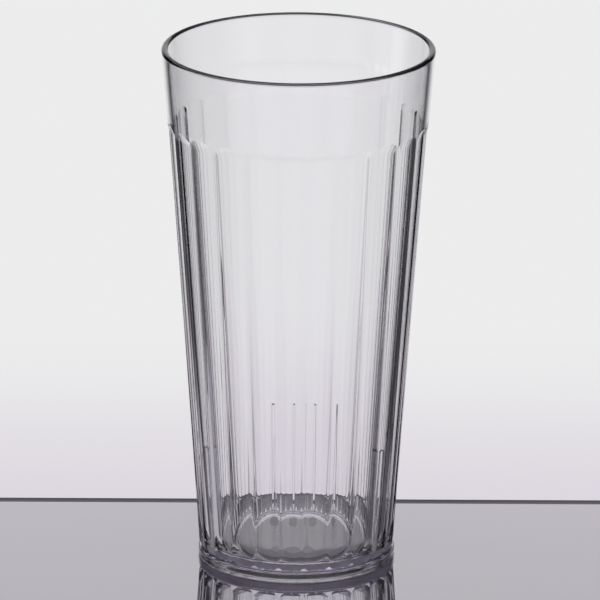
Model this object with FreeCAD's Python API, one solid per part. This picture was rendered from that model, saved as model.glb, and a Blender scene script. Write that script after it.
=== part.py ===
import FreeCAD, Part
import math
import os

# Clear moulded tumbler, one solid. Lengths are millimetres. The cup stands on Z = 0, its axis is +Z,
# and angles run from +X towards +Y.

# Rim and plain band
rim_diameter = 82.5
cup_height = 159.8
lip_radius = 1.0
band_taper = 0.0825

# Fluted body: radius of its ridges at the foot, and the curves of the grooves between them
flute_count = 24
ridge_angle = 4.5
ridge_step = 0.06
body_foot_radius = 29.75
body_foot_round = 5.0
body_foot_tuck = 0.75
flute_top_height = 134.5
flute_foot_curve = 11.5
flute_top_curve = 48.0
flute_end_curve = 8.0

# Notch, foot ring, and the recess and round marks under the base
notch_height = 0.5
notch_depth = 0.9
foot_ring_step = 0.15
foot_ring_height = 2.9
foot_ring_round = 0.5
foot_ring_width = 5.4
recess_depth = 1.5
recess_round = 0.6
mark_radius = 6.0
mark_depth = 0.4
mark_offset = 14.0

# Inside
floor_thickness = 3.5
floor_fillet = 13.0
floor_cut = 6.0
foot_wall = 2.4

# Stacking lugs on the inner wall
lug_count = 3
lug_angle = 87.0
lug_height = 38.0
lug_width = 2.5
lug_proud = 1.6
lug_round = 0.5
lug_sink = 0.5

Vector = FreeCAD.Vector
AXIS = Vector(0, 0, 1)
ORIGIN = Vector(0, 0, 0)

# Values worked out from the sizes above
rim_radius = rim_diameter / 2
band_slant = math.hypot(1, band_taper)
band_rim_radius = rim_radius + lip_radius * (band_taper + band_slant - 1)
lip_centre_radius = rim_radius - lip_radius
lip_centre_height = cup_height - lip_radius
body_foot_height = foot_ring_height + notch_height
notch_radius = body_foot_radius - notch_depth
foot_ring_radius = body_foot_radius + foot_ring_step
floor_height = recess_depth + floor_thickness
half_pitch = math.pi / flute_count


def band_radius(height):
    return band_rim_radius - band_taper * (cup_height - height)


def ridge_radius(height):
    """Radius of the sharp ridges between the flutes, which end a little under the band."""
    ridge_top_radius = band_radius(flute_top_height) - ridge_step
    share = (height - body_foot_height) / (flute_top_height - body_foot_height)
    return body_foot_radius + share * (ridge_top_radius - body_foot_radius)


floor_corner_radius = ridge_radius(floor_height) - foot_wall


def inner_wall_taper():
    """Taper of an inner wall that starts at the floor's corner and is tangent to the lip."""
    rise = cup_height - floor_height
    taper = 0.0
    for _ in range(20):
        at_rim = lip_centre_radius - lip_radius * (math.hypot(1, taper) - taper)
        taper = (at_rim - floor_corner_radius) / rise
    return taper


inner_taper = inner_wall_taper()
inner_slant = math.hypot(1, inner_taper)


def inner_radius(height):
    return floor_corner_radius + inner_taper * (height - floor_height)


def point(radius, height):
    return Vector(radius, 0, height)


def arc(start, centre, end):
    """Short arc from start to end about centre, all in the XZ plane."""
    spoke = (start - centre) + (end - centre)
    middle = centre + spoke * ((start - centre).Length / spoke.Length)
    return Part.Arc(start, middle, end).toShape()


def line(start, end):
    return Part.LineSegment(start, end).toShape()


def closed_face(edges):
    return Part.Face(Part.Wire(edges))


def revolved(face, base=ORIGIN, axis=AXIS):
    return face.revolve(base, axis, 360)


def lip_edges():
    """Full-round lip, from the band's tangent point over the top to the inner wall's."""
    centre = point(lip_centre_radius, lip_centre_height)
    outer = centre + point(1, -band_taper) * (lip_radius / band_slant)
    inner = centre + point(-1, inner_taper) * (lip_radius / inner_slant)
    top = centre + point(0, lip_radius)
    return [arc(outer, centre, top), arc(top, centre, inner)], outer, inner


def floor_edges(wall_end):
    """Inner wall, cut fillet and flat floor, down from the lip to the axis."""
    centre_height = floor_height + floor_fillet - floor_cut
    centre = point(inner_radius(centre_height) - floor_fillet * inner_slant, centre_height)
    wall_point = centre + point(1, -inner_taper) * (floor_fillet / inner_slant)
    reach = math.sqrt(floor_fillet ** 2 - (floor_fillet - floor_cut) ** 2)
    floor_point = point(centre.x + reach, floor_height)
    axis_point = point(0, floor_height)
    edges = [line(wall_end, wall_point), arc(wall_point, centre, floor_point)]
    edges.append(line(floor_point, axis_point))
    return edges, axis_point


def base_edges(axis_top):
    """Underside from the axis outwards: recess, foot ring and notch."""
    roof_start = point(0, recess_depth)
    ring_inner = foot_ring_radius - foot_ring_width
    roof_end = point(ring_inner - recess_round, recess_depth)
    roof_centre = roof_end - point(0, recess_round)
    ring_wall = roof_centre + point(recess_round, 0)
    ring_toe_centre = point(ring_inner + foot_ring_round, foot_ring_round)
    toe_start = ring_toe_centre - point(foot_ring_round, 0)
    toe_end = ring_toe_centre - point(0, foot_ring_round)
    heel_centre = point(foot_ring_radius - foot_ring_round, foot_ring_round)
    heel_start = heel_centre - point(0, foot_ring_round)
    heel_end = heel_centre + point(foot_ring_round, 0)
    crown_centre = point(foot_ring_radius - foot_ring_round, foot_ring_height - foot_ring_round)
    crown_start = crown_centre + point(foot_ring_round, 0)
    crown_end = crown_centre + point(0, foot_ring_round)
    notch_foot = point(notch_radius, foot_ring_height)
    notch_head = point(notch_radius, body_foot_height)
    edges = [
        line(axis_top, roof_start),
        line(roof_start, roof_end),
        arc(roof_end, roof_centre, ring_wall),
        line(ring_wall, toe_start),
        arc(toe_start, ring_toe_centre, toe_end),
        line(toe_end, heel_start),
        arc(heel_start, heel_centre, heel_end),
        line(heel_end, crown_start),
        arc(crown_start, crown_centre, crown_end),
        line(crown_end, notch_foot),
        line(notch_foot, notch_head),
    ]
    return edges, notch_head


def body_edges(notch_head, lip_outer):
    """Blank of the fluted body, a hair outside the ridges, and the plain band over it."""
    foot = point(body_foot_radius + ridge_step, body_foot_height)
    head = point(band_radius(flute_top_height), flute_top_height)
    along = (head - foot).normalize()
    outward = Vector(along.z, 0, -along.x)
    tuck_height = math.sqrt(2 * body_foot_round * body_foot_tuck - body_foot_tuck ** 2)
    round_top = foot + along * (tuck_height / along.z)
    centre = round_top - outward * body_foot_round
    drop = centre.z - body_foot_height
    round_foot = point(centre.x + math.sqrt(body_foot_round ** 2 - drop ** 2), body_foot_height)
    return [
        line(notch_head, round_foot),
        arc(round_foot, centre, round_top),
        line(round_top, head),
        line(head, lip_outer),
    ]


def cup_blank():
    """The cup without its flutes and lugs."""
    lip, lip_outer, lip_inner = lip_edges()
    inside, axis_top = floor_edges(lip_inner)
    base, notch_head = base_edges(axis_top)
    body = body_edges(notch_head, lip_outer)
    return revolved(closed_face(lip + inside + base + body))


def groove_radius(height, curve):
    """Radius of a flute's middle, where grooves of this curve meet on the ridges."""
    half_chord = ridge_radius(height) * math.sin(half_pitch)
    sagitta = curve - math.sqrt(curve ** 2 - half_chord ** 2)
    return ridge_radius(height) * math.cos(half_pitch) - sagitta


def flute_cutter():
    """Tapered round cutter with a rounded top end, on the +X side."""
    start_height = (foot_ring_height + body_foot_height) / 2
    start = point(groove_radius(start_height, flute_foot_curve), start_height)
    spring = point(groove_radius(flute_top_height, flute_top_curve), flute_top_height)
    along = spring - start
    spread = math.asin((flute_top_curve - flute_foot_curve) / along.Length)
    along.normalize()
    lean = math.atan2(along.x, along.z)
    outward = point(math.cos(lean), -math.sin(lean))
    axis = point(math.sin(lean + spread), math.cos(lean + spread))
    axis_outward = point(axis.z, -axis.x)
    axis_foot = start + axis_outward * flute_foot_curve
    end_centre = spring + outward * flute_end_curve
    end_top = end_centre + along * flute_end_curve
    axis_head = axis_foot + axis * (end_top - axis_foot).dot(axis)
    profile = [
        line(axis_foot, start),
        line(start, spring),
        arc(spring, end_centre, end_top),
        line(end_top, axis_head),
        line(axis_head, axis_foot),
    ]
    return revolved(closed_face(profile), axis_foot, axis)


def fluted(blank):
    cutter = flute_cutter()
    first = ridge_angle + math.degrees(half_pitch)
    for number in range(flute_count):
        turned = cutter.copy()
        turned.rotate(ORIGIN, AXIS, first + number * 360 / flute_count)
        blank = blank.cut(turned)
    return blank


def marked(cup):
    """Two round ejector marks in the roof of the recess, in line with the first lug."""
    for side in (1, -1):
        mark = Part.makeCylinder(mark_radius, recess_depth + mark_depth, point(side * mark_offset, 0))
        mark.rotate(ORIGIN, AXIS, lug_angle)
        cup = cup.cut(mark)
    return cup


def stacking_lug():
    """Upright rib on the inner wall, on the +X side, with a flat ledge on top."""
    foot_height = floor_height - lug_sink
    foot_wall = inner_radius(foot_height)
    head_wall = inner_radius(lug_height)
    corners = [
        point(foot_wall - lug_proud, foot_height),
        point(head_wall - lug_proud, lug_height),
        point(head_wall + lug_sink, lug_height),
        point(foot_wall + lug_sink, foot_height),
    ]
    face = Part.Face(Part.makePolygon(corners + corners[:1]))
    lug = face.extrude(Vector(0, lug_width, 0))
    lug.translate(Vector(0, -lug_width / 2, 0))
    inner_face = corners[0].x + corners[1].x
    long_edges = [
        edge for edge in lug.Edges
        if edge.Length > lug_height / 2 and 2 * edge.CenterOfMass.x < inner_face + lug_proud
    ]
    return lug.makeFillet(lug_round, long_edges)


def with_lugs(cup):
    lug = stacking_lug()
    for number in range(lug_count):
        turned = lug.copy()
        turned.rotate(ORIGIN, AXIS, lug_angle + number * 360 / lug_count)
        cup = cup.fuse(turned)
    return cup


tumbler = with_lugs(marked(fluted(cup_blank())))
if tumbler.ShapeType != "Solid":
    tumbler = tumbler.Solids[0]

os.makedirs("parts", exist_ok=True)
tumbler.exportStep("parts/tumbler.step")
print("solid valid", tumbler.isValid(), "volume", round(tumbler.Volume, 1))
print("box", tumbler.BoundBox, "faces", len(tumbler.Faces))
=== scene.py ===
import math

import bmesh
import bpy
from mathutils import Matrix, Vector


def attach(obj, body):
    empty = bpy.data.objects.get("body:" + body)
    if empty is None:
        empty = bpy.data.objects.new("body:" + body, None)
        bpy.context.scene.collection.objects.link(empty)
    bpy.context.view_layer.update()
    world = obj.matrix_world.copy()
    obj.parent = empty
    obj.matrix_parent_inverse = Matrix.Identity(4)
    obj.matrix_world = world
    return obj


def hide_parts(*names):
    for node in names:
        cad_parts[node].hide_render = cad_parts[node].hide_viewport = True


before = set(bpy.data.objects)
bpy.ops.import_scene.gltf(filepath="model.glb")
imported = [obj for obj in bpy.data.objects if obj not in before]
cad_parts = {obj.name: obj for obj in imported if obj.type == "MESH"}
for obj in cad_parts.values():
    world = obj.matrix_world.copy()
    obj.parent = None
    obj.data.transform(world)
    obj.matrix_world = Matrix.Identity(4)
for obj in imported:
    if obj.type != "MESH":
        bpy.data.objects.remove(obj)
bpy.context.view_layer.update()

bl_info = {
    "name": "Clear fluted tumbler",
    "version": (1, 0, 0),
    "blender": (4, 5, 0),
    "location": "View3D > Sidebar > Tumbler",
    "description": "Builds a clear moulded tumbler and the glossy table that it stands on",
    "category": "Add Mesh",
}

MM = 0.001

# Columns of points across one flute's sector: beside the lug, and over half of the lug
LUG_SIDE_COLUMNS = 9
LUG_HALF_COLUMNS = 5
COLUMNS = 2 * (LUG_SIDE_COLUMNS + LUG_HALF_COLUMNS)

# Rows of points, as shares of the way along each stretch of the section
RECESS_ROWS = (0, 0.5, 0.98)
RING_FOOT_ROWS = (0.02, 0.5, 0.98)
RING_SIDE_ROWS = (0.05, 0.5, 0.95)
FLUTE_ROWS = (0.004, 0.02, 0.06, 0.14, 0.28, 0.45, 0.62, 0.78, 0.9, 0.97, 0.995, 1.0)
BAND_ROWS = (0.03, 0.15, 0.4, 0.7, 0.95, 0.99)
WALL_ROWS = (0.006, 0.04, 0.2, 0.45, 0.7, 0.9, 0.99)
LUG_ROWS = (0.02, 0.1, 0.3, 0.55, 0.8, 0.95, 0.99)
FLOOR_ROWS = (0.03, 0.3, 0.65, 1.0)

# Steps along arcs
EDGE_STEPS = 6
FOOT_STEPS = 6
ARCH_STEPS = 8
LIP_STEPS = 18
FILLET_STEPS = 10
MARK_STEPS = 96

ROOF_MARGIN = 1 * MM
MERGE_DISTANCE = 2e-6
SHORTEST_EDGE = 1e-7


def length(name, description, millimetres):
    return bpy.props.FloatProperty(
        name=name, description=description, default=millimetres * MM, unit="LENGTH", precision=5)


def angle(name, description, degrees):
    return bpy.props.FloatProperty(
        name=name, description=description, default=math.radians(degrees), unit="ROTATION")


def colour(name, description, rgb):
    return bpy.props.FloatVectorProperty(
        name=name, description=description, default=rgb, size=3, subtype="COLOR", min=0, max=1)


class TumblerSizes(bpy.types.PropertyGroup):
    rim_diameter: length("Rim diameter", "Widest diameter, across the lip", 82.5)
    cup_height: length("Height", "From the table to the top of the lip", 159.8)
    lip_radius: length("Lip radius", "Radius of the full-round lip", 1.0)
    band_taper: bpy.props.FloatProperty(
        name="Band taper", description="Growth of the plain band's radius with height",
        default=0.0825)
    flute_count: bpy.props.IntProperty(
        name="Flutes", description="Number of flutes round the body", default=24, min=3)
    ridge_angle: angle("Ridge angle", "Turn of the first ridge from the +X side", 4.5)
    ridge_step: length("Ridge step", "Depth of the ridges' top ends under the band", 0.06)
    ridge_blend: length("Ridge blend", "Depth over which the ridges are rounded off", 0.55)
    body_foot_radius: length("Body foot radius", "Radius of the ridges at the body's foot", 29.75)
    body_foot_round: length("Body foot round", "Radius of the rounding at the body's foot", 5.0)
    body_foot_tuck: length("Body foot tuck", "How far that rounding draws in", 0.75)
    flute_top_height: length("Flute top height", "Where the flutes start to run out", 134.5)
    flute_foot_curve: length("Flute foot curve", "Radius of a flute's section at its foot", 11.5)
    flute_top_curve: length("Flute top curve", "Radius of a flute's section at its top", 48.0)
    flute_end_curve: length("Flute end curve", "Radius of a flute's run-out", 8.0)
    notch_height: length("Notch height", "Height of the notch over the foot ring", 0.5)
    notch_depth: length("Notch depth", "Depth of the notch over the foot ring", 0.9)
    ring_step: length("Ring step", "How far the foot ring stands out past the ridges", 0.15)
    ring_height: length("Ring height", "Height of the foot ring", 2.9)
    ring_round: length("Ring round", "Radius of the foot ring's edges", 0.5)
    ring_width: length("Ring width", "Width of the ring that touches the table", 5.4)
    recess_depth: length("Recess depth", "Depth of the recess under the base", 1.5)
    recess_round: length("Recess round", "Radius in the recess's corner", 0.6)
    mark_radius: length("Mark radius", "Radius of the two round marks under the base", 6.0)
    mark_depth: length("Mark depth", "Depth of those marks", 0.4)
    mark_offset: length("Mark offset", "Distance of those marks from the axis", 14.0)
    floor_thickness: length("Floor thickness", "Thickness over the recess", 3.5)
    floor_fillet: length("Floor fillet", "Radius between floor and wall", 13.0)
    floor_cut: length("Floor cut", "How much of that fillet's foot the floor cuts off", 6.0)
    foot_wall: length("Foot wall", "Wall at the floor, ridge to inside", 2.4)
    lug_count: bpy.props.IntProperty(
        name="Lugs", description="Number of stacking lugs", default=3, min=1)
    lug_angle: angle("Lug angle", "Turn of the first lug from the +X side", 87.0)
    lug_height: length("Lug height", "Height of the lugs' ledges", 38.0)
    lug_width: length("Lug width", "Width of a lug", 2.5)
    lug_proud: length("Lug proud", "How far a lug stands off the wall", 1.6)
    lug_round: length("Lug round", "Radius of a lug's long edges", 0.5)


class PlasticFinish(bpy.types.PropertyGroup):
    tint: colour("Tint", "Colour that light takes on inside the plastic", (0.81, 0.69, 0.96))
    tint_density: bpy.props.FloatProperty(
        name="Tint density", description="How fast the plastic tints, per metre", default=25.0,
        min=0)
    refraction: bpy.props.FloatProperty(
        name="Refraction", description="Index of refraction of the plastic", default=1.59, min=1)
    roughness: bpy.props.FloatProperty(
        name="Roughness", description="Roughness of the polished plastic", default=0.0, min=0,
        max=1)
    matt_roughness: bpy.props.FloatProperty(
        name="Matt roughness", description="Roughness inside the round marks", default=0.35, min=0,
        max=1)
    ripple_scale: bpy.props.FloatProperty(
        name="Ripple scale", description="Flow ripples per metre", default=60.0, min=0)
    ripple_strength: bpy.props.FloatProperty(
        name="Ripple strength", description="Strength of the flow ripples", default=0.15, min=0)
    ripple_depth: length("Ripple depth", "Depth of the flow ripples", 0.02)


class StageSettings(bpy.types.PropertyGroup):
    # The dark strip along the table's back edge is painted shade: a flat dark sheet where the
    # table's edge falls into shade.
    table_back: length("Table back", "From the cup's axis to the dark strip's near side", 47.2)
    table_edge: length("Table edge", "Width of the dark strip along that edge", 4.0)
    table_width: length("Table width", "Width of the table top", 3000.0)
    table_front: length("Table front", "From the cup's axis to the table's front edge", 2500.0)
    table_gap: length("Table gap", "Air left under the cup, so that its base stays bright", 0.05)
    table_thickness: length("Table thickness", "Thickness of the table top", 12.0)
    # Painted sheen falloff: the table's dark grey lightens from near to far across the cup,
    # standing in for how light falls on the table.
    table_grey_painted_sheen_near: colour("Table grey", "Colour under the table's gloss, near", (0.05, 0.05, 0.055))
    table_grey_painted_sheen_far: colour("Table far grey", "The same at the back", (0.16, 0.155, 0.17))
    # Painted shade on the edge strip: lighter on its near side, darker towards its far side.
    edge_near_painted_shade_grey: colour("Edge near grey", "The edge strip's near side", (0.17, 0.155, 0.17))
    edge_far_painted_shade_grey: colour("Edge far grey", "The edge strip's far side", (0.06, 0.058, 0.075))
    table_gloss: bpy.props.FloatProperty(
        name="Table gloss", description="Share of light that the table mirrors", default=0.56)
    edge_gloss: bpy.props.FloatProperty(
        name="Edge gloss", description="The same for the strip along its edge", default=0.03)
    camera_distance: length("Camera distance", "From the camera to its aim", 2600.0)
    camera_elevation: angle("Camera elevation", "Height of the camera over the horizon", 17.05)
    camera_roll: angle("Camera roll", "Turn of the picture", 0.268)
    camera_lens: bpy.props.FloatProperty(
        name="Camera lens", description="Focal length in millimetres", default=515.0)
    aim_side: length("Aim side", "The camera's aim to the right of the axis", 0.757)
    aim_height: length("Aim height", "The camera's aim over the table", 80.45)


class CupForm:
    """The cup's section and its flutes, worked out from the sizes."""

    def __init__(self, sizes):
        self.sizes = sizes
        rim_radius = sizes.rim_diameter / 2
        lip = sizes.lip_radius
        band_slant = math.hypot(1, sizes.band_taper)
        self.band_rim_radius = rim_radius + lip * (sizes.band_taper + band_slant - 1)
        self.lip_centre = (rim_radius - lip, sizes.cup_height - lip)
        self.foot_height = sizes.ring_height + sizes.notch_height
        self.notch_radius = sizes.body_foot_radius - sizes.notch_depth
        self.ring_radius = sizes.body_foot_radius + sizes.ring_step
        self.floor_height = sizes.recess_depth + sizes.floor_thickness
        self.half_pitch = math.pi / sizes.flute_count
        self.floor_corner_radius = self.ridge_radius(self.floor_height) - sizes.foot_wall
        self.inner_taper = 0.0
        for _ in range(20):
            at_rim = self.lip_centre[0] - lip * (math.hypot(1, self.inner_taper) - self.inner_taper)
            rise = sizes.cup_height - self.floor_height
            self.inner_taper = (at_rim - self.floor_corner_radius) / rise
        self.groove_start = (sizes.ring_height + self.foot_height) / 2
        self.groove_low = self.groove_floor(self.groove_start, sizes.flute_foot_curve)
        groove_high = self.groove_floor(sizes.flute_top_height, sizes.flute_top_curve)
        rise = sizes.flute_top_height - self.groove_start
        self.groove_taper = (groove_high - self.groove_low) / rise
        self.set_foot_rounding()

    def band_radius(self, height):
        return self.band_rim_radius - self.sizes.band_taper * (self.sizes.cup_height - height)

    def ridge_radius(self, height):
        top_height = self.sizes.flute_top_height
        top_radius = self.band_radius(top_height) - self.sizes.ridge_step
        share = (height - self.foot_height) / (top_height - self.foot_height)
        return self.sizes.body_foot_radius + share * (top_radius - self.sizes.body_foot_radius)

    def inner_radius(self, height):
        return self.floor_corner_radius + self.inner_taper * (height - self.floor_height)

    def groove_floor(self, height, curve):
        """Radius of a flute's middle, where grooves of this curve meet on the ridges."""
        half_chord = self.ridge_radius(height) * math.sin(self.half_pitch)
        sagitta = curve - math.sqrt(curve ** 2 - half_chord ** 2)
        return self.ridge_radius(height) * math.cos(self.half_pitch) - sagitta

    def groove_radius(self, turn, height):
        """Radius of a flute's surface, at a turn from its middle, with the ridges rounded off."""
        sizes = self.sizes
        share = (height - self.groove_start) / (sizes.flute_top_height - self.groove_start)
        middle = self.groove_low + self.groove_taper * (height - self.groove_start)
        spread = sizes.flute_top_curve - sizes.flute_foot_curve
        curve = sizes.flute_foot_curve + spread * min(share, 1.0)
        centre = middle + curve
        if height > sizes.flute_top_height:
            run = (height - sizes.flute_top_height) * math.hypot(1, self.groove_taper)
            run = min(run, sizes.flute_end_curve * 0.999)
            curve -= sizes.flute_end_curve - math.sqrt(sizes.flute_end_curve ** 2 - run ** 2)

        def groove(away):
            reach = max(curve ** 2 - (centre * math.sin(away)) ** 2, 0.0)
            return centre * math.cos(away) - math.sqrt(reach)

        near = groove(turn)
        far = groove(2 * self.half_pitch - abs(turn))
        blend = max(sizes.ridge_blend - abs(near - far), 0.0)
        return min(near, far) - blend ** 2 / (4 * sizes.ridge_blend)

    def set_foot_rounding(self):
        """Arc at the body's foot, tangent to the blank just outside the ridges."""
        sizes = self.sizes
        self.blank_foot_radius = sizes.body_foot_radius + sizes.ridge_step
        top = self.band_radius(sizes.flute_top_height)
        slant = Vector((top - self.blank_foot_radius, sizes.flute_top_height - self.foot_height))
        slant.normalize()
        self.blank_taper = slant.x / slant.y
        tuck_height = math.sqrt(
            2 * sizes.body_foot_round * sizes.body_foot_tuck - sizes.body_foot_tuck ** 2)
        self.round_top = self.foot_height + tuck_height
        top_radius = self.blank_foot_radius + self.blank_taper * tuck_height
        self.round_centre = (
            top_radius - slant.y * sizes.body_foot_round,
            self.round_top + slant.x * sizes.body_foot_round)

    def blank_radius(self, height):
        if height >= self.round_top:
            return self.blank_foot_radius + self.blank_taper * (height - self.foot_height)
        drop = self.round_centre[1] - height
        return self.round_centre[0] + math.sqrt(self.sizes.body_foot_round ** 2 - drop ** 2)

    def foot_edge(self, turn):
        """Height at which a flute leaves the foot's rounding."""
        low, high = self.foot_height, self.round_top + 2 * MM
        if self.blank_radius(low) >= self.groove_radius(turn, low):
            return low
        return self.crossing(
            low, high, lambda height: self.blank_radius(height) - self.groove_radius(turn, height))

    def arch_edge(self, turn):
        """Height at which a flute runs out in the plain band."""
        low = self.sizes.flute_top_height
        high = low + self.sizes.flute_end_curve * 0.99
        return self.crossing(
            low, high, lambda height: self.groove_radius(turn, height) - self.band_radius(height))

    @staticmethod
    def crossing(low, high, excess):
        if excess(low) > 0:
            return low
        for _ in range(50):
            middle = (low + high) / 2
            if excess(middle) > 0:
                high = middle
            else:
                low = middle
        return (low + high) / 2


def arc_points(centre, radius, first, last, steps):
    """Points (radius, height) along an arc in the section, both ends included."""
    points = []
    for step in range(steps + 1):
        turn = first + (last - first) * step / steps
        points.append((centre[0] + radius * math.cos(turn), centre[1] + radius * math.sin(turn)))
    return points


class SectorRows:
    """Rows of points across one flute's sector, from the underside round to the cup's floor."""

    def __init__(self, form, with_lug):
        self.form = form
        self.sizes = form.sizes
        self.with_lug = with_lug
        half = form.half_pitch
        self.turns = [half * (2 * column / COLUMNS - 1) for column in range(COLUMNS + 1)]
        self.rows = []
        self.sharp_rows = []
        self.ridge_rows = (0, 0)
        self.lug_rows = None

    def add(self, points, sharp=False):
        self.rows.append(points)
        if sharp:
            self.sharp_rows.append(len(self.rows) - 1)

    def ring(self, radius, height, sharp=False):
        self.add(
            [(radius * math.cos(turn), radius * math.sin(turn), height) for turn in self.turns],
            sharp)

    def shaped(self, heights, radius_at, sharp=False):
        points = []
        for turn, height in zip(self.turns, heights):
            radius = radius_at(turn, height)
            points.append((radius * math.cos(turn), radius * math.sin(turn), height))
        self.add(points, sharp)

    def underside(self):
        sizes, form = self.sizes, self.form
        ring_inner = form.ring_radius - sizes.ring_width
        roof_end = ring_inner - sizes.recess_round
        roof_start = sizes.mark_offset + sizes.mark_radius + ROOF_MARGIN
        for share in RECESS_ROWS:
            self.ring(roof_start + (roof_end - roof_start) * share, sizes.recess_depth)
        corner = (roof_end, sizes.recess_depth - sizes.recess_round)
        for point in arc_points(corner, sizes.recess_round, math.pi / 2, 0, EDGE_STEPS):
            self.ring(*point)
        edge = sizes.ring_round
        toe = (ring_inner + edge, edge)
        for point in arc_points(toe, edge, math.pi, 1.5 * math.pi, EDGE_STEPS):
            self.ring(*point)
        heel = (form.ring_radius - edge, edge)
        for share in RING_FOOT_ROWS:
            self.ring(toe[0] + (heel[0] - toe[0]) * share, 0.0)
        for point in arc_points(heel, edge, 1.5 * math.pi, 2 * math.pi, EDGE_STEPS):
            self.ring(*point)

    def foot_side(self):
        """Outside of the foot ring, the notch, and the body's rounded foot."""
        sizes, form = self.sizes, self.form
        edge = sizes.ring_round
        crown = (form.ring_radius - edge, sizes.ring_height - edge)
        for share in RING_SIDE_ROWS:
            self.ring(form.ring_radius, edge + (crown[1] - edge) * share)
        for point in arc_points(crown, edge, 0, math.pi / 2, EDGE_STEPS):
            self.ring(*point)
        self.ring(form.notch_radius, sizes.ring_height, sharp=True)
        self.ring(form.notch_radius, (sizes.ring_height + form.foot_height) / 2)
        self.ring(form.notch_radius, form.foot_height, sharp=True)
        low = form.foot_height

        def outline(turn, height):
            return min(form.blank_radius(height), form.groove_radius(turn, height))

        def under_body(turn, height):
            return (form.notch_radius + outline(turn, height)) / 2

        self.shaped([low] * len(self.turns), under_body)
        self.shaped([low] * len(self.turns), outline, sharp=True)
        self.flute_feet = [form.foot_edge(turn) for turn in self.turns]
        for step in range(1, FOOT_STEPS + 1):
            heights = [low + (foot - low) * step / FOOT_STEPS for foot in self.flute_feet]
            self.shaped(heights, outline, sharp=step == FOOT_STEPS)

    def flutes(self):
        sizes, form = self.sizes, self.form
        first = len(self.rows) - 1
        top = sizes.flute_top_height
        for share in FLUTE_ROWS:
            heights = [foot + (top - foot) * share for foot in self.flute_feet]
            self.shaped(heights, form.groove_radius)
        self.arches = [form.arch_edge(turn) for turn in self.turns]
        for step in range(1, ARCH_STEPS + 1):
            heights = [top + (arch - top) * step / ARCH_STEPS for arch in self.arches]
            self.shaped(heights, form.groove_radius, sharp=step == ARCH_STEPS)
        self.ridge_rows = (first, len(self.rows) - 1)

    def band_and_lip(self):
        sizes, form = self.sizes, self.form
        outer_turn = -math.atan(sizes.band_taper)
        inner_turn = math.pi - math.atan(form.inner_taper)
        band_top = form.lip_centre[1] + sizes.lip_radius * math.sin(outer_turn)
        for share in BAND_ROWS:
            heights = [arch + (band_top - arch) * share for arch in self.arches]
            self.shaped(heights, lambda turn, height: form.band_radius(height))
        lip = arc_points(form.lip_centre, sizes.lip_radius, outer_turn, inner_turn, LIP_STEPS)
        for point in lip:
            self.ring(*point)
        self.wall_top = form.lip_centre[1] + sizes.lip_radius * math.sin(inner_turn)

    def inner_wall(self):
        sizes, form = self.sizes, self.form
        for share in WALL_ROWS:
            height = self.wall_top + (sizes.lug_height - self.wall_top) * share
            self.ring(form.inner_radius(height), height)
        ledge_radius = form.inner_radius(sizes.lug_height)
        if self.with_lug:
            lug = self.lug_section(sizes.lug_height, ledge_radius)
            wall = []
            for x, y, height in lug:
                wall.append((math.sqrt(ledge_radius ** 2 - y ** 2), y, height))
            self.add(wall, sharp=True)
            self.add(lug, sharp=True)
            self.lug_rows = len(self.rows) - 1
        else:
            self.ring(ledge_radius, sizes.lug_height)
        turn = math.atan(form.inner_taper)
        fillet = sizes.floor_fillet
        centre_height = form.floor_height + fillet - sizes.floor_cut
        centre_radius = form.inner_radius(centre_height) - fillet * math.hypot(1, form.inner_taper)
        wall_foot = centre_height - fillet * math.sin(turn)
        for share in LUG_ROWS:
            height = sizes.lug_height + (wall_foot - sizes.lug_height) * share
            self.wall_ring(form.inner_radius(height), height)
        last = -math.asin(1 - sizes.floor_cut / fillet)
        floor_radius = centre_radius + fillet * math.cos(last)
        centre = (centre_radius, centre_height)
        for point in arc_points(centre, fillet, -turn, last, FILLET_STEPS):
            self.wall_ring(*point)
        if sizes.floor_cut > 0:
            self.sharp_rows.append(len(self.rows) - 1)
        self.lug_end = len(self.rows) - 1
        for share in FLOOR_ROWS:
            self.ring(floor_radius * (1 - share), form.floor_height)

    def wall_ring(self, radius, height):
        if self.with_lug:
            self.add(self.lug_section(height, radius))
        else:
            self.ring(radius, height)

    def lug_section(self, height, wall_radius):
        """A row of the inner wall that goes out round the lug and back."""
        sizes, form = self.sizes, self.form
        face = form.inner_radius(height) - sizes.lug_proud
        half_width = sizes.lug_width / 2
        edge = sizes.lug_round
        foot_turn = math.asin(half_width / wall_radius)
        side = []
        for column in range(LUG_SIDE_COLUMNS):
            turn = form.half_pitch + (foot_turn - form.half_pitch) * column / LUG_SIDE_COLUMNS
            side.append((wall_radius * math.cos(turn), wall_radius * math.sin(turn)))
        outline = [(wall_radius, half_width), (face + edge, half_width)]
        for step in range(1, LUG_HALF_COLUMNS - 1):
            turn = math.pi / 2 * (1 + step / (LUG_HALF_COLUMNS - 2))
            outline.append((face + edge + edge * math.cos(turn),
                            half_width - edge + edge * math.sin(turn)))
        outline.append((face, 0.0))
        for x, y in outline:
            side.append((min(x, math.sqrt(wall_radius ** 2 - y ** 2)), y))
        mirrored = [(x, -y) for x, y in side]
        return [(x, y, height) for x, y in mirrored + side[-2::-1]]

    def sharp_edges(self):
        """Pairs of vertex numbers: edges between faces that meet at a clear angle."""
        across = COLUMNS + 1
        pairs = []
        for row in self.sharp_rows:
            for column in range(COLUMNS):
                pairs.append((row * across + column, row * across + column + 1))
        for row in range(*self.ridge_rows):
            for column in (0, COLUMNS):
                pairs.append((row * across + column, (row + 1) * across + column))
        if self.lug_rows is not None:
            for row in range(self.lug_rows, self.lug_end):
                for column in (LUG_SIDE_COLUMNS, COLUMNS - LUG_SIDE_COLUMNS):
                    pairs.append((row * across + column, (row + 1) * across + column))
        return pairs


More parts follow.
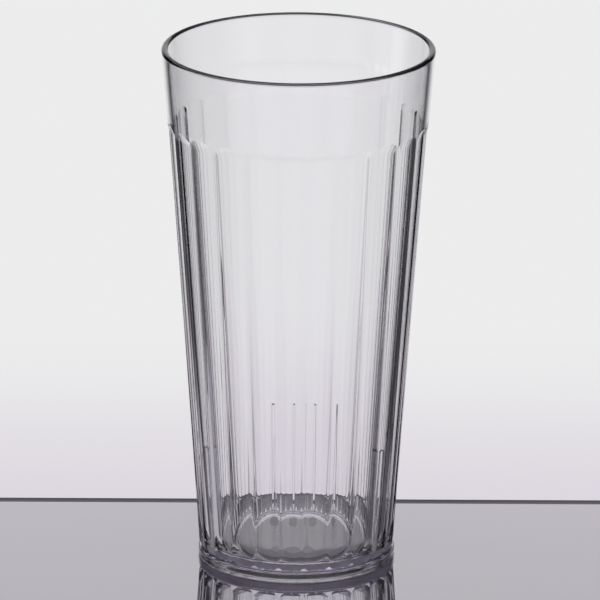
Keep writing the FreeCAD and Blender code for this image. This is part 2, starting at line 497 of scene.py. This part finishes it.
def sector_object(name, form, with_lug):
    """A strip of the cup as wide as one flute, with the flute's middle on the +X side."""
    rows = SectorRows(form, with_lug)
    rows.underside()
    rows.foot_side()
    rows.flutes()
    rows.band_and_lip()
    rows.inner_wall()
    across = COLUMNS + 1
    vertices = [point for row in rows.rows for point in row]
    faces = []
    for row in range(len(rows.rows) - 1):
        for column in range(COLUMNS):
            corner = row * across + column
            faces.append((corner, corner + 1, corner + 1 + across, corner + across))
    mesh = bpy.data.meshes.new(name)
    mesh.from_pydata(vertices, [], faces)
    sharp = {tuple(sorted(pair)) for pair in rows.sharp_edges()}
    mark = mesh.attributes.new("sharp_edge", "BOOLEAN", "EDGE")
    for edge in mesh.edges:
        mark.data[edge.index].value = tuple(sorted(edge.vertices)) in sharp
    piece = bpy.data.objects.new(name, mesh)
    bpy.context.scene.collection.objects.link(piece)
    return piece


class NodeTree:
    """Small helper that adds nodes to a tree and links them."""

    def __init__(self, tree):
        self.tree = tree

    def add(self, kind, inputs=None, **settings):
        node = self.tree.nodes.new(kind)
        for key, value in settings.items():
            setattr(node, key, value)
        for socket, value in (inputs or {}).items():
            self.feed(node.inputs[socket], value)
        return node

    def feed(self, socket, value):
        if isinstance(value, bpy.types.NodeSocket):
            self.tree.links.new(value, socket)
        else:
            socket.default_value = value

    def maths(self, operation, *values):
        node = self.add("ShaderNodeMath", operation=operation)
        for socket, value in zip(node.inputs, values):
            self.feed(socket, value)
        return node.outputs[0]


def repeat_tree():
    """Geometry Nodes: sets the flute sectors round the axis, with a lug in every few of them."""
    tree = bpy.data.node_groups.new("Flutes round the axis", "GeometryNodeTree")
    face = tree.interface
    face.new_socket("Geometry", in_out="INPUT", socket_type="NodeSocketGeometry")
    face.new_socket("Lug sector", in_out="INPUT", socket_type="NodeSocketObject")
    face.new_socket("Flutes", in_out="INPUT", socket_type="NodeSocketInt")
    face.new_socket("Lugs", in_out="INPUT", socket_type="NodeSocketInt")
    face.new_socket("First lug", in_out="INPUT", socket_type="NodeSocketInt")
    face.new_socket("First angle", in_out="INPUT", socket_type="NodeSocketFloat")
    face.new_socket("Plastic", in_out="INPUT", socket_type="NodeSocketMaterial")
    face.new_socket("Geometry", in_out="OUTPUT", socket_type="NodeSocketGeometry")
    nodes = NodeTree(tree)
    given = nodes.add("NodeGroupInput").outputs
    number = nodes.add("GeometryNodeInputIndex").outputs[0]
    spots = nodes.add("GeometryNodeMeshLine", {"Count": given["Flutes"], "Offset": (0, 0, 0)})
    pitch = nodes.maths("DIVIDE", math.tau, given["Flutes"])
    turn = nodes.maths("MULTIPLY_ADD", number, pitch, given["First angle"])
    rotation = nodes.add("ShaderNodeCombineXYZ", {"Z": turn}).outputs[0]
    every = nodes.maths("DIVIDE", given["Flutes"], given["Lugs"])
    past_lug = nodes.maths("SUBTRACT", number, given["First lug"])
    place = nodes.maths("FLOORED_MODULO", past_lug, every)
    has_lug = nodes.maths("LESS_THAN", place, 0.5)
    plain = nodes.maths("SUBTRACT", 1, has_lug)
    lug_sector = nodes.add("GeometryNodeObjectInfo", {"Object": given["Lug sector"]})
    copies = []
    for sector, chosen in ((given["Geometry"], plain), (lug_sector.outputs["Geometry"], has_lug)):
        copies.append(nodes.add("GeometryNodeInstanceOnPoints", {
            "Points": spots.outputs[0], "Selection": chosen, "Instance": sector,
            "Rotation": rotation}).outputs[0])
    joined = nodes.add("GeometryNodeJoinGeometry")
    for copy in copies:
        nodes.feed(joined.inputs[0], copy)
    realized = nodes.add("GeometryNodeRealizeInstances", {"Geometry": joined.outputs[0]})
    finished = nodes.add("GeometryNodeSetMaterial", {
        "Geometry": realized.outputs[0], "Material": given["Plastic"]})
    nodes.add("NodeGroupOutput", {"Geometry": finished.outputs[0]})
    return tree


def evaluated_mesh(piece):
    """The piece's mesh with its modifiers' result, as a plain mesh."""
    bpy.context.view_layer.update()
    graph = bpy.context.evaluated_depsgraph_get()
    return bpy.data.meshes.new_from_object(piece.evaluated_get(graph))


def mark_centre(sizes, side):
    """Middle of a round mark, in the recess's roof, on one side or the other of the axis."""
    turn = sizes.lug_angle + (0 if side > 0 else math.pi)
    return Vector((
        math.cos(turn) * sizes.mark_offset, math.sin(turn) * sizes.mark_offset,
        sizes.recess_depth + sizes.mark_depth))


def fill_roof(cup, form):
    """Closes the recess's roof, with the two round marks let into it."""
    sizes = form.sizes
    open_edges = [edge for edge in cup.edges if edge.is_boundary]
    rim = {vertex for edge in open_edges for vertex in edge.verts}
    if not rim:
        raise RuntimeError("the cup has no open roof to fill")
    loops = []
    for side in (1, -1):
        centre = mark_centre(sizes, side)
        low, high = [], []
        for step in range(MARK_STEPS):
            spoke = math.tau * step / MARK_STEPS
            point = centre + Vector((math.cos(spoke), math.sin(spoke), 0)) * sizes.mark_radius
            low.append(cup.verts.new((point.x, point.y, sizes.recess_depth)))
            high.append(cup.verts.new(point))
        low_edges = []
        for step in range(MARK_STEPS):
            after = (step + 1) % MARK_STEPS
            wall = cup.faces.new((low[step], high[step], high[after], low[after]))
            wall.smooth = True
            low_edges.append(cup.edges.get((low[step], low[after])))
            low_edges[-1].smooth = False
            cup.edges.get((high[step], high[after])).smooth = False
        cup.faces.new(high)
        loops += low_edges
    bmesh.ops.triangle_fill(
        cup, use_beauty=True, use_dissolve=False, edges=open_edges + loops, normal=(0, 0, -1))


def clear_plastic(finish, sizes):
    """Clear moulded plastic: polished by the mould, and matt where the ejector pins pressed."""
    material = bpy.data.materials.new("Clear moulded plastic")
    material.use_nodes = True
    nodes = NodeTree(material.node_tree)
    surface = material.node_tree.nodes["Principled BSDF"]
    surface.inputs["Base Color"].default_value = (1, 1, 1, 1)
    surface.inputs["IOR"].default_value = finish.refraction
    surface.inputs["Transmission Weight"].default_value = 1.0
    place = nodes.add("ShaderNodeTexCoord").outputs["Object"]
    matt = None
    for side in (1, -1):
        spot = nodes.add("ShaderNodeVectorMath", {0: place, 1: mark_centre(sizes, side)},
                         operation="DISTANCE").outputs["Value"]
        inside = nodes.add("ShaderNodeMapRange", {
            "Value": spot, "From Min": sizes.mark_radius * 0.92, "From Max": sizes.mark_radius,
            "To Min": finish.matt_roughness, "To Max": finish.roughness}).outputs[0]
        matt = inside if matt is None else nodes.maths("MAXIMUM", matt, inside)
    flow = nodes.add("ShaderNodeTexNoise", {
        "Vector": place, "Scale": finish.ripple_scale, "Detail": 2.0, "Roughness": 0.5})
    ripple = nodes.add("ShaderNodeBump", {
        "Height": flow.outputs[0], "Strength": finish.ripple_strength,
        "Distance": finish.ripple_depth})
    nodes.feed(surface.inputs["Roughness"], matt)
    nodes.feed(surface.inputs["Normal"], ripple.outputs[0])
    tint = nodes.add("ShaderNodeVolumeAbsorption", {
        "Color": (*finish.tint, 1), "Density": finish.tint_density})
    output = material.node_tree.nodes["Material Output"]
    nodes.feed(output.inputs["Volume"], tint.outputs[0])
    return material


class TUMBLER_OT_cup(bpy.types.Operator):
    """Build the clear tumbler from its flute sectors"""
    bl_idname = "tumbler.cup"
    bl_label = "Tumbler"

    def execute(self, context):
        form = CupForm(context.scene.tumbler_sizes)
        sizes = form.sizes
        plastic = clear_plastic(context.scene.tumbler_finish, sizes)
        piece = sector_object("tumbler_cup", form, with_lug=False)
        lug_sector = sector_object("lug_sector", form, with_lug=True)
        first = sizes.ridge_angle + form.half_pitch
        first_lug = round((sizes.lug_angle - first) / (2 * form.half_pitch))
        tree = repeat_tree()
        modifier = piece.modifiers.new("Flutes", "NODES")
        modifier.node_group = tree
        values = {
            "Lug sector": lug_sector, "Flutes": sizes.flute_count, "Lugs": sizes.lug_count,
            "First lug": first_lug, "First angle": first, "Plastic": plastic}
        for item in tree.interface.items_tree:
            if item.in_out == "INPUT" and item.name in values:
                modifier[item.identifier] = values[item.name]
        mesh = evaluated_mesh(piece)
        piece.modifiers.clear()
        piece.data = mesh
        bpy.data.objects.remove(lug_sector)
        self.close(mesh, form)
        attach(piece, "root")
        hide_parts("tumbler")
        return {"FINISHED"}

    def close(self, mesh, form):
        """Merge the sectors' seams and poles, fill the roof, and turn the faces outwards."""
        cup = bmesh.new()
        cup.from_mesh(mesh)
        bmesh.ops.remove_doubles(cup, verts=cup.verts, dist=MERGE_DISTANCE)
        bmesh.ops.dissolve_degenerate(cup, edges=cup.edges, dist=SHORTEST_EDGE)
        for face in cup.faces:
            face.smooth = True
        fill_roof(cup, form)
        bmesh.ops.recalc_face_normals(cup, faces=cup.faces)
        if cup.calc_volume() < 0:
            bmesh.ops.reverse_faces(cup, faces=cup.faces)
        if any(not edge.is_manifold for edge in cup.edges):
            raise RuntimeError("the cup's mesh isn't closed")
        print("cup triangles", sum(len(face.verts) - 2 for face in cup.faces),
              "volume", cup.calc_volume() * 1e9)
        cup.to_mesh(mesh)
        cup.free()


def slab(name, low, high):
    """A plain box from its lowest to its highest corner."""
    xs, ys, zs = zip(low, high)
    corners = [(x, y, z) for z in zs for y in ys for x in xs]
    faces = [(0, 2, 3, 1), (4, 5, 7, 6), (0, 1, 5, 4), (2, 6, 7, 3), (0, 4, 6, 2), (1, 3, 7, 5)]
    mesh = bpy.data.meshes.new(name)
    mesh.from_pydata(corners, [], faces)
    piece = bpy.data.objects.new(name, mesh)
    bpy.context.scene.collection.objects.link(piece)
    return piece


# Faint tint of what the glossy table mirrors
GLOSS_TINT = (0.97, 0.935, 1, 1)


def glossy_grey_painted_falloff(name, near, far, gloss, reach):
    """Grey under a faintly tinted mirror gloss, shading from near to far over a reach in Y: a
    painted light falloff, not a change in the surface's own colour.
    """
    material = bpy.data.materials.new(name)
    material.use_nodes = True
    material.node_tree.nodes.clear()
    nodes = NodeTree(material.node_tree)
    place = nodes.add("ShaderNodeTexCoord").outputs["Object"]
    depth = nodes.add("ShaderNodeSeparateXYZ", {0: place}).outputs["Y"]
    share = nodes.add("ShaderNodeMapRange", {
        "Value": depth, "From Min": reach[0], "From Max": reach[1]})
    colour = mixed_colour(nodes, share.outputs[0], (*near, 1), (*far, 1))
    under = nodes.add("ShaderNodeBsdfDiffuse", {"Color": colour})
    mirror = nodes.add("ShaderNodeBsdfAnisotropic", {"Color": GLOSS_TINT, "Roughness": 0.0})
    mixed = nodes.add("ShaderNodeMixShader", {0: gloss, 1: under.outputs[0], 2: mirror.outputs[0]})
    nodes.add("ShaderNodeOutputMaterial", {"Surface": mixed.outputs[0]})
    return material


def window(nodes, value, centre, half_width, soft):
    """1 within half_width of the centre and 0 outside, with soft edges."""
    away = nodes.maths("ABSOLUTE", nodes.maths("SUBTRACT", value, centre))
    node = nodes.add("ShaderNodeMapRange", {
        "Value": away, "From Min": half_width + soft, "From Max": half_width - soft,
        "To Min": 0.0, "To Max": 1.0})
    return node.outputs[0]


def smooth_step(nodes, value, reach):
    """0 below the reach, 1 over it, and smooth between."""
    node = nodes.add("ShaderNodeMapRange", {
        "Value": value, "From Min": reach[0], "From Max": reach[1]},
        interpolation_type="SMOOTHSTEP")
    return node.outputs[0]


def mixed_colour(nodes, factor, first, second):
    """First colour where the factor is 0, and the second where it is 1."""
    node = nodes.add("ShaderNodeMix", {0: factor}, data_type="RGBA")
    for socket, value in ((node.inputs[6], first), (node.inputs[7], second)):
        nodes.feed(socket, value)
    return node.outputs[2]


# Studio light. Panels: middle azimuth, half width, softness, lowest and highest elevation, in
# degrees. The backdrop shades off towards its foot, and the dark room pales towards the ceiling.
PANELS = (
    (90, 23.5, 8, -32, 22),
    (135, 15, 8, -68, -21.5),
    (180, 20, 8, -11.5, 11.5),
    (135, 25, 5, 21.5, 68),
    (315, 25, 5, -19, -11),
    (315, 25, 5, 11, 19),
    (270, 60, 15, 5, 60),
    (270, 60, 15, -60, -5),
)
PANEL_END_SOFTNESS = 1
BACKDROP_FADE = (-18.5, -17.2)
CEILING_FADE = (14, 60)
BACKDROP_TOP = (0.84, 0.84, 0.845, 1)
BACKDROP_FOOT = (0.72, 0.68, 0.735, 1)
GAP_COLOUR = (0.03, 0.03, 0.034, 1)
CEILING_COLOUR = (0.5, 0.49, 0.53, 1)
ROOM_COLOUR = (0.8, 0.79, 0.81, 1)


def studio_world():
    """Soft studio: a pale backdrop for the camera, bright panels and dark gaps for clear things."""
    world = bpy.data.worlds.new("Studio")
    world.use_nodes = True
    world.node_tree.nodes.clear()
    nodes = NodeTree(world.node_tree)
    place = nodes.add("ShaderNodeTexCoord").outputs["Generated"]
    axes = nodes.add("ShaderNodeSeparateXYZ", {0: place}).outputs
    azimuth = nodes.maths("DEGREES", nodes.maths("ARCTAN2", axes["Y"], axes["X"]))
    azimuth = nodes.maths("FLOORED_MODULO", azimuth, 360)
    elevation = nodes.maths("DEGREES", nodes.maths("ARCSINE", axes["Z"]))
    light = None
    for centre, half_width, softness, lowest, highest in PANELS:
        panel = nodes.maths(
            "MULTIPLY", window(nodes, azimuth, centre, half_width, softness),
            window(nodes, elevation, (lowest + highest) / 2, (highest - lowest) / 2,
                   PANEL_END_SOFTNESS))
        light = panel if light is None else nodes.maths("MAXIMUM", light, panel)
    backdrop = mixed_colour(
        nodes, smooth_step(nodes, elevation, BACKDROP_FADE), BACKDROP_FOOT, BACKDROP_TOP)
    dark = mixed_colour(
        nodes, smooth_step(nodes, elevation, CEILING_FADE), GAP_COLOUR, CEILING_COLOUR)
    panels = mixed_colour(nodes, light, dark, backdrop)
    rays = nodes.add("ShaderNodeLightPath").outputs
    clear = nodes.maths("MAXIMUM", rays["Is Glossy Ray"], rays["Is Transmission Ray"])
    plain = mixed_colour(nodes, rays["Is Camera Ray"], ROOM_COLOUR, backdrop)
    shown = mixed_colour(nodes, clear, plain, panels)
    sky = nodes.add("ShaderNodeBackground", {"Color": shown, "Strength": 1.0})
    nodes.add("ShaderNodeOutputWorld", {"Surface": sky.outputs[0]})
    return world


class TUMBLER_OT_stage(bpy.types.Operator):
    """Build the table, the studio light and the camera"""
    bl_idname = "tumbler.stage"
    bl_label = "Stage"

    def execute(self, context):
        settings = context.scene.tumbler_stage
        side, back = settings.table_width / 2, settings.table_back
        edge_back = back + settings.table_edge
        low, high = -settings.table_thickness, -settings.table_gap
        # The glossy table's grey carries a painted sheen falloff along Y, lighter towards the back.
        table = slab("table", (-side, -settings.table_front, low), (side, back, high))
        table.data.materials.append(glossy_grey_painted_falloff(
            "Glossy table, painted sheen falloff", settings.table_grey_painted_sheen_near, settings.table_grey_painted_sheen_far, settings.table_gloss,
            (-back, back)))
        # The edge strip is painted shade along the table's back edge, darker towards its far side.
        edge = slab("table_edge", (-side, back, low), (side, edge_back, high))
        edge.data.materials.append(glossy_grey_painted_falloff(
            "Table edge strip, painted shade", settings.edge_near_painted_shade_grey, settings.edge_far_painted_shade_grey,
            settings.edge_gloss, (back, edge_back)))
        context.scene.world = studio_world()
        self.camera(context, settings)
        context.scene.view_settings.view_transform = "Standard"
        return {"FINISHED"}

    def camera(self, context, settings):
        data = bpy.data.cameras.new("Camera")
        camera = bpy.data.objects.new("Camera", data)
        context.scene.collection.objects.link(camera)
        rise = settings.camera_elevation
        back = Vector((0, -math.cos(rise), math.sin(rise)))
        aim = Vector((settings.aim_side, 0, settings.aim_height))
        camera.location = aim + back * settings.camera_distance
        roll = Matrix.Rotation(settings.camera_roll, 3, "Z")
        turned = back.to_track_quat("Z", "Y").to_matrix() @ roll
        camera.rotation_euler = turned.to_euler()
        data.lens = settings.camera_lens
        data.sensor_width = 36
        data.clip_end = 50
        context.scene.camera = camera


class TUMBLER_PT_panel(bpy.types.Panel):
    """Lists what builds the tumbler and its stage"""
    bl_idname = "TUMBLER_PT_panel"
    bl_label = "Tumbler"
    bl_space_type = "VIEW_3D"
    bl_region_type = "UI"
    bl_category = "Tumbler"

    def draw(self, context):
        layout = self.layout
        for group in (context.scene.tumbler_sizes, context.scene.tumbler_finish,
                      context.scene.tumbler_stage):
            box = layout.box()
            for name in group.bl_rna.properties.keys():
                if name not in ("rna_type", "name"):
                    box.prop(group, name)
        layout.operator(TUMBLER_OT_cup.bl_idname)
        layout.operator(TUMBLER_OT_stage.bl_idname)


CLASSES = (
    TumblerSizes, PlasticFinish, StageSettings, TUMBLER_OT_cup, TUMBLER_OT_stage, TUMBLER_PT_panel)


def register():
    for item in CLASSES:
        bpy.utils.register_class(item)
    bpy.types.Scene.tumbler_sizes = bpy.props.PointerProperty(type=TumblerSizes)
    bpy.types.Scene.tumbler_finish = bpy.props.PointerProperty(type=PlasticFinish)
    bpy.types.Scene.tumbler_stage = bpy.props.PointerProperty(type=StageSettings)


def unregister():
    del bpy.types.Scene.tumbler_stage
    del bpy.types.Scene.tumbler_finish
    del bpy.types.Scene.tumbler_sizes
    for item in reversed(CLASSES):
        bpy.utils.unregister_class(item)


def main():
    register()
    bpy.ops.tumbler.cup()
    bpy.ops.tumbler.stage()


if __name__ == "__main__":
    main()
